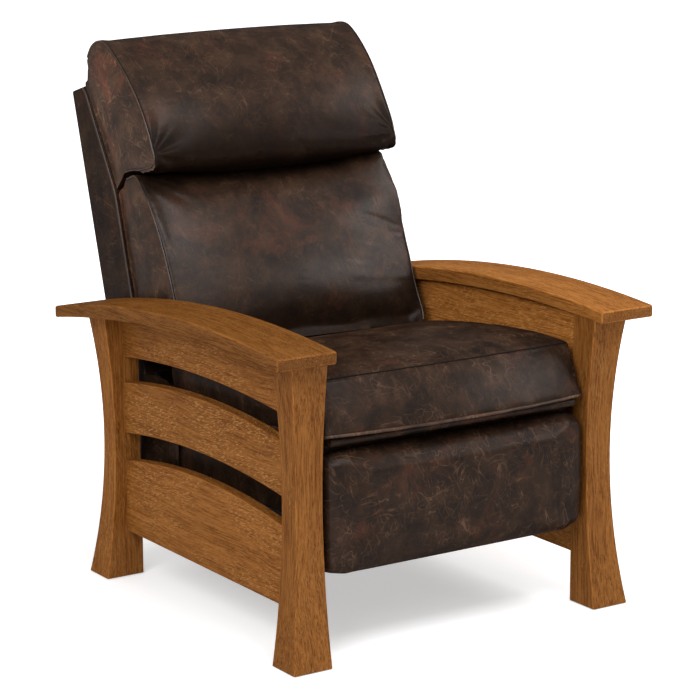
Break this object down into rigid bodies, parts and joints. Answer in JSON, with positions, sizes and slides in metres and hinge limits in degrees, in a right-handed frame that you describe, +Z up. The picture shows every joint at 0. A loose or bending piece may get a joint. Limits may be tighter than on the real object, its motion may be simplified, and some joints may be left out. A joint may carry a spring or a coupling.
{
  "type": "reclining armchair",
  "caption": "Oak armchair with flared posts, arched arms and side slats, leather seat and back cushions, a head pillow, a reclining back and a folding footrest.",
  "frame": {"origin": "on the floor under the middle of the chair's overall box, back upright and footrest closed", "axes": "+Z up; -Y the way a sitter faces; +X the sitter's left"},
  "size_m": [0.906, 1.074, 1.148],
  "materials": {
    "oak": "golden-brown stained quarter-sawn oak, satin",
    "inner_wood": "plain planed hardwood",
    "plywood": "plywood",
    "leather": "dark brown distressed pull-up leather",
    "cover_leather": "dark brown leather over a frame",
    "webbing": "black elastic webbing",
    "deck_cloth": "dark decking cloth over a thin pad",
    "felt": "brown felt",
    "nylon": "natural nylon",
    "steel": "black painted steel"
  },
  "bodies": {
    "frame": {"arm_left": "oak", "arm_right": "oak", "post_front_left": "oak", "post_front_right": "oak", "post_rear_left": "oak", "post_rear_right": "oak", "foot_pads": "felt", "top_rail_left": "oak", "top_rail_right": "oak", "side_slat_left": "oak", "side_slat_right": "oak", "lower_panel_left": "oak", "lower_panel_right": "oak", "middle_cross_rail": "inner_wood", "rear_cross_rail": "inner_wood", "corner_blocks": "inner_wood", "tracks": "steel", "post_studs": "steel"},
    "seat": {"seat_side_left": "inner_wood", "seat_side_right": "inner_wood", "seat_front_rail": "inner_wood", "seat_rear_rail": "inner_wood", "seat_webbing": "webbing", "seat_deck": "deck_cloth", "seat_cover_left": "cover_leather", "seat_cover_right": "cover_leather", "seat_border": "leather", "seat_cushion": "leather", "runners": "steel", "slide_blocks": "nylon", "hinge_plates": "steel", "footrest_mounts": "steel"},
    "back": {"back_ply_left": "plywood", "back_ply_right": "plywood", "back_cover_left": "cover_leather", "back_cover_right": "cover_leather", "back_cover_rear": "cover_leather", "back_cover_top": "cover_leather", "back_top_rail": "inner_wood", "back_middle_rail": "inner_wood", "back_bottom_rail": "inner_wood", "back_webbing": "webbing", "back_cushion": "leather", "head_pillow": "leather", "back_brackets": "steel"},
    "recline_link": {"recline_links": "steel"},
    "lift_link": {"lift_links": "steel", "lift_tube": "steel"},
    "lift_guide": {"lift_guides": "steel"},
    "reach_link": {"reach_links": "steel"},
    "reach_guide": {"reach_guides": "steel"},
    "footrest": {"footrest_pad": "leather", "footrest_board": "plywood", "footrest_brackets": "steel"}
  },
  "joints": [
    {"name": "back_recline", "type": "hinge", "parent": "seat", "child": "back", "pos_m": [0, 0.17399, 0.325], "axis": [-1, 0, 0], "range_deg": [0, 30]},
    {"name": "seat_slide", "type": "slide", "parent": "frame", "child": "seat", "axis": [0, -1, 0], "range_m": [0, 0.0425]},
    {"name": "recline_link_swing", "type": "hinge", "parent": "frame", "child": "recline_link", "pos_m": [0, 0.26189, 0.403], "axis": [1, 0, 0], "range_deg": [0, 6.1]},
    {"name": "footrest_lift", "type": "hinge", "parent": "seat", "child": "lift_link", "pos_m": [0, -0.38301, 0.372], "axis": [-1, 0, 0], "range_deg": [0, 123]},
    {"name": "lift_guide_swing", "type": "hinge", "parent": "seat", "child": "lift_guide", "pos_m": [0, -0.40001, 0.3275], "axis": [-1, 0, 0], "range_deg": [0, 131]},
    {"name": "reach_swing", "type": "hinge", "parent": "lift_link", "child": "reach_link", "pos_m": [0, -0.26829, 0.20817], "axis": [1, 0, 0], "range_deg": [0, 162]},
    {"name": "reach_guide_swing", "type": "hinge", "parent": "lift_link", "child": "reach_guide", "pos_m": [0, -0.24981, 0.22169], "axis": [1, 0, 0], "range_deg": [0, 167]},
    {"name": "footrest_tilt", "type": "hinge", "parent": "reach_link", "child": "footrest", "pos_m": [0, -0.42589, 0.3313], "axis": [-1, 0, 0], "range_deg": [0, 127]}
  ],
  "couplings": [
    {"joint": "seat_slide", "follows": "back_recline", "m_per_rad": 0.0806},
    {"joint": "recline_link_swing", "follows": "back_recline", "ratio": 0.2},
    {"joint": "lift_guide_swing", "follows": "footrest_lift", "ratio": 1.0593},
    {"joint": "reach_swing", "follows": "footrest_lift", "ratio": 1.3089},
    {"joint": "reach_guide_swing", "follows": "footrest_lift", "ratio": 1.3496},
    {"joint": "footrest_tilt", "follows": "footrest_lift", "ratio": 1.0244}
  ]
}
